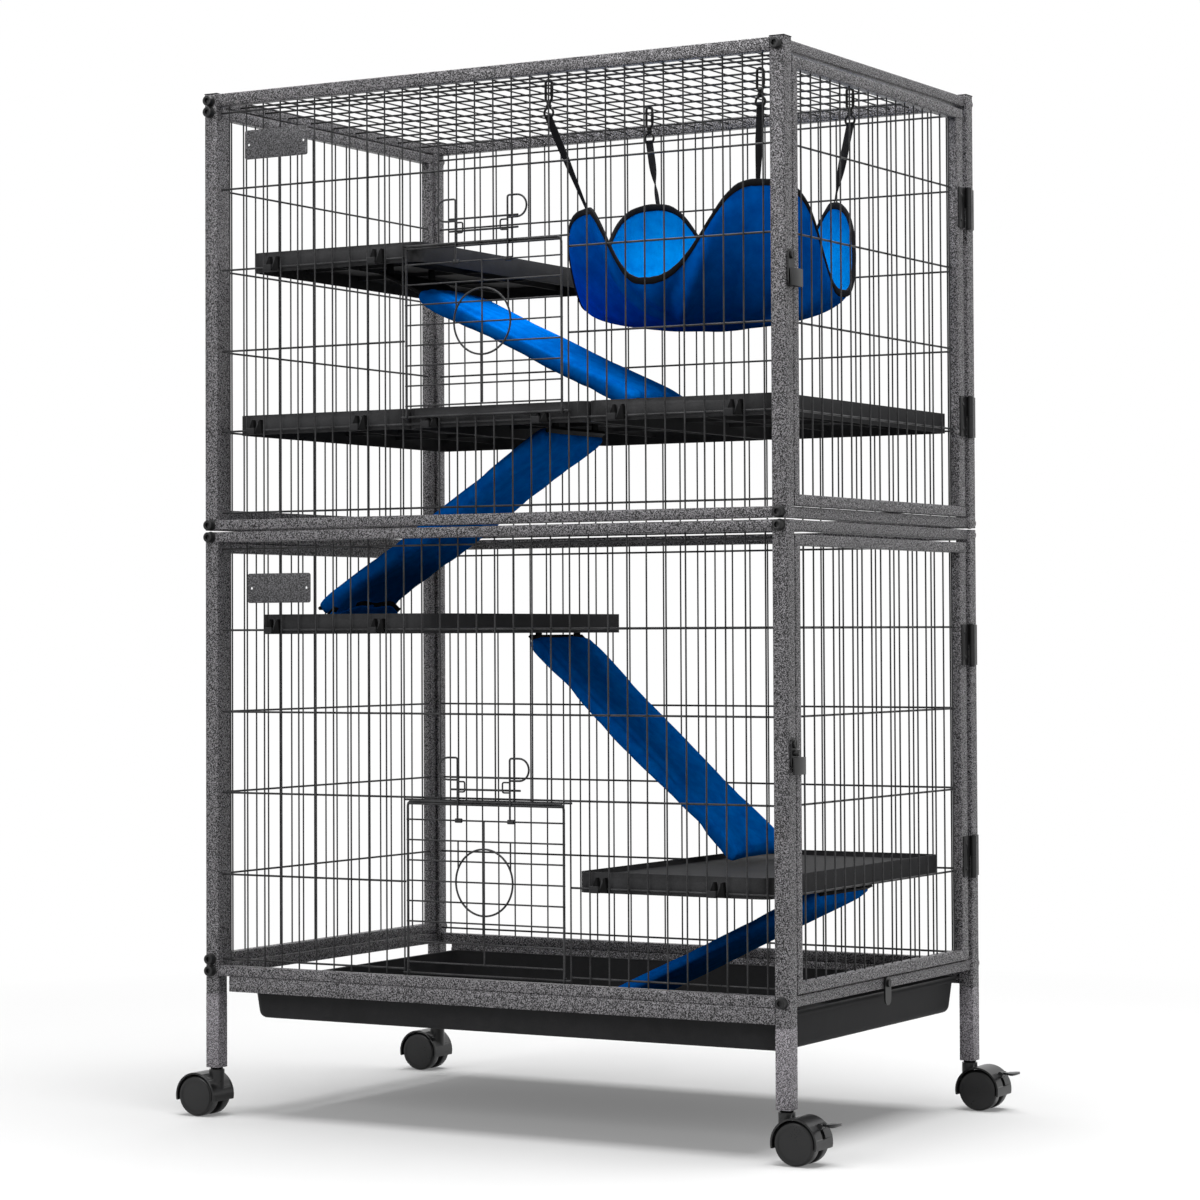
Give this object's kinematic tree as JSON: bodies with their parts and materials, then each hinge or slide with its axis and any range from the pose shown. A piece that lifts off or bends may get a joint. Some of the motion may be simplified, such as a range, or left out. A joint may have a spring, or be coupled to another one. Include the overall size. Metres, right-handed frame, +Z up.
{
  "type": "small animal cage",
  "caption": "Tall wire cage on casters with side doors, small drop-down doors, shelves, padded ramps, a hammock and a sliding pan.",
  "frame": {"origin": "centre of the cage's footprint, on the floor under the casters", "axes": "+X to the right along the long front, +Y towards the back, +Z up"},
  "size_m": [0.8905, 0.544, 1.2565],
  "materials": {
    "hammered_steel": "hammered powder coat, dark grey",
    "grille_wire": "powder coat over wire, dark grey",
    "black_steel": "black finish",
    "black_plastic": "moulded, matt black",
    "shelf_plastic": "moulded, satin black",
    "pan_plastic": "moulded, satin black",
    "ramp_cloth": "padded woven cloth, bright blue",
    "hammock_cloth": "woven cloth, royal blue with a black binding",
    "webbing": "black webbing",
    "hook_plastic": "black swivel snap hook",
    "plate_metal": "bare hammered plate",
    "caster_gloss": "glossy black moulding"
  },
  "bodies": {
    "cage": {"upper_front_frame": "hammered_steel", "lower_front_frame": "hammered_steel", "upper_back_frame": "hammered_steel", "lower_back_frame": "hammered_steel", "front_uprights": "grille_wire", "front_cross_wires": "grille_wire", "upper_back_grille": "grille_wire", "lower_back_grille": "grille_wire", "side_rails": "hammered_steel", "left_panel_upper": "hammered_steel", "left_panel_lower": "hammered_steel", "top_mesh": "grille_wire", "post_caps": "black_plastic", "frame_bolts": "black_steel", "legs": "hammered_steel", "pan_runners": "hammered_steel", "shelf_top_left": "shelf_plastic", "shelf_mid_left": "shelf_plastic", "shelf_mid_centre": "shelf_plastic", "shelf_mid_right": "shelf_plastic", "shelf_low_left": "shelf_plastic", "shelf_low_right": "shelf_plastic", "ramp_cover_1": "ramp_cloth", "ramp_cover_2": "ramp_cloth", "ramp_cover_3": "ramp_cloth", "ramp_cover_4": "ramp_cloth", "ramp_boards": "black_plastic", "hammock": "hammock_cloth", "hammock_straps": "webbing", "hammock_hooks": "hook_plastic", "name_plates": "plate_metal", "hinge_post_leaves": "black_steel", "hinge_pins": "black_steel", "latch_screws": "black_steel", "caster_stems": "black_steel"},
    "upper_door_body": {"upper_door": "hammered_steel", "upper_door_fittings": "black_steel"},
    "lower_door_body": {"lower_door": "hammered_steel", "lower_door_fittings": "black_steel"},
    "upper_lever_body": {"upper_latch_lever": "black_steel"},
    "lower_lever_body": {"lower_latch_lever": "black_steel"},
    "small_upper_body": {"small_door_upper": "grille_wire"},
    "small_lower_body": {"small_door_lower": "grille_wire"},
    "latch_upper_left_body": {"latch_half_upper_left": "grille_wire"},
    "latch_upper_right_body": {"latch_half_upper_right": "grille_wire"},
    "latch_lower_left_body": {"latch_half_lower_left": "grille_wire"},
    "latch_lower_right_body": {"latch_half_lower_right": "grille_wire"},
    "pan_body": {"pan": "pan_plastic"},
    "pan_tab_body": {"pan_tab": "black_steel"},
    "swivel_fl": {"caster_hood_fl": "caster_gloss"},
    "wheels_fl": {"caster_wheels_fl": "caster_gloss"},
    "swivel_fr": {"caster_hood_fr": "caster_gloss"},
    "wheels_fr": {"caster_wheels_fr": "caster_gloss"},
    "swivel_bl": {"caster_hood_bl": "caster_gloss"},
    "wheels_bl": {"caster_wheels_bl": "caster_gloss"},
    "swivel_br": {"caster_hood_br": "caster_gloss"},
    "wheels_br": {"caster_wheels_br": "caster_gloss"},
    "brake_fr_body": {"brake_fr": "caster_gloss"},
    "brake_br_body": {"brake_br": "caster_gloss"}
  },
  "joints": [
    {"name": "upper_side_door", "type": "hinge", "parent": "cage", "child": "upper_door_body", "pos_m": [0.39625, 0.235, 0.983], "axis": [0, 0, 1], "range_deg": [0, 165]},
    {"name": "lower_side_door", "type": "hinge", "parent": "cage", "child": "lower_door_body", "pos_m": [0.39625, 0.235, 0.442], "axis": [0, 0, 1], "range_deg": [0, 165]},
    {"name": "upper_latch", "type": "hinge", "parent": "cage", "child": "upper_lever_body", "pos_m": [0.39375, -0.2505, 1.01], "axis": [1, 0, 0], "range_deg": [-90, 0]},
    {"name": "lower_latch", "type": "hinge", "parent": "cage", "child": "lower_lever_body", "pos_m": [0.39375, -0.2505, 0.4645], "axis": [1, 0, 0], "range_deg": [-90, 0]},
    {"name": "upper_small_door", "type": "hinge", "parent": "cage", "child": "small_upper_body", "pos_m": [-0.00825, -0.2531, 0.8465], "axis": [1, 0, 0], "range_deg": [0, 150]},
    {"name": "lower_small_door", "type": "hinge", "parent": "cage", "child": "small_lower_body", "pos_m": [-0.00825, -0.2531, 0.1885], "axis": [1, 0, 0], "range_deg": [0, 95]},
    {"name": "latch_upper_left", "type": "slide", "parent": "small_upper_body", "child": "latch_upper_left_body", "axis": [1, 0, 0], "range_m": [0, 0.008], "stiffness_N_per_m": 150},
    {"name": "latch_upper_right", "type": "slide", "parent": "small_upper_body", "child": "latch_upper_right_body", "axis": [-1, 0, 0], "range_m": [0, 0.008], "stiffness_N_per_m": 150},
    {"name": "latch_lower_left", "type": "slide", "parent": "small_lower_body", "child": "latch_lower_left_body", "axis": [1, 0, 0], "range_m": [0, 0.008], "stiffness_N_per_m": 150},
    {"name": "latch_lower_right", "type": "slide", "parent": "small_lower_body", "child": "latch_lower_right_body", "axis": [-1, 0, 0], "range_m": [0, 0.008], "stiffness_N_per_m": 150},
    {"name": "pan_slide", "type": "slide", "parent": "cage", "child": "pan_body", "axis": [-1, 0, 0], "range_m": [0, 0.26]},
    {"name": "pan_tab_swing", "type": "hinge", "parent": "cage", "child": "pan_tab_body", "pos_m": [0.39075, -0.004, 0.1775], "axis": [1, 0, 0], "range_deg": [-85, 85]},
    {"name": "swivel_fl_turn", "type": "hinge", "parent": "cage", "child": "swivel_fl", "pos_m": [-0.39875, -0.2505, 0.057], "axis": [0, 0, 1], "continuous": true},
    {"name": "wheel_fl_roll", "type": "hinge", "parent": "swivel_fl", "child": "wheels_fl", "pos_m": [-0.41675, -0.2505, 0.025], "axis": [0, 1, 0], "continuous": true},
    {"name": "swivel_fr_turn", "type": "hinge", "parent": "cage", "child": "swivel_fr", "pos_m": [0.38225, -0.2505, 0.057], "axis": [0, 0, 1], "continuous": true},
    {"name": "wheel_fr_roll", "type": "hinge", "parent": "swivel_fr", "child": "wheels_fr", "pos_m": [0.40025, -0.2505, 0.025], "axis": [0, 1, 0], "continuous": true},
    {"name": "brake_fr_press", "type": "hinge", "parent": "swivel_fr", "child": "brake_fr_body", "pos_m": [0.42565, -0.2505, 0.0446], "axis": [0, 1, 0], "range_deg": [0, 20]},
    {"name": "swivel_bl_turn", "type": "hinge", "parent": "cage", "child": "swivel_bl", "pos_m": [-0.39875, 0.2505, 0.057], "axis": [0, 0, 1], "continuous": true},
    {"name": "wheel_bl_roll", "type": "hinge", "parent": "swivel_bl", "child": "wheels_bl", "pos_m": [-0.41675, 0.2505, 0.025], "axis": [0, 1, 0], "continuous": true},
    {"name": "swivel_br_turn", "type": "hinge", "parent": "cage", "child": "swivel_br", "pos_m": [0.38225, 0.2505, 0.057], "axis": [0, 0, 1], "continuous": true},
    {"name": "wheel_br_roll", "type": "hinge", "parent": "swivel_br", "child": "wheels_br", "pos_m": [0.40025, 0.2505, 0.025], "axis": [0, 1, 0], "continuous": true},
    {"name": "brake_br_press", "type": "hinge", "parent": "swivel_br", "child": "brake_br_body", "pos_m": [0.42565, 0.2505, 0.0446], "axis": [0, 1, 0], "range_deg": [0, 20]}
  ],
  "couplings": [
    {"joint": "latch_upper_right", "follows": "latch_upper_left", "ratio": 1},
    {"joint": "latch_lower_right", "follows": "latch_lower_left", "ratio": 1}
  ]
}
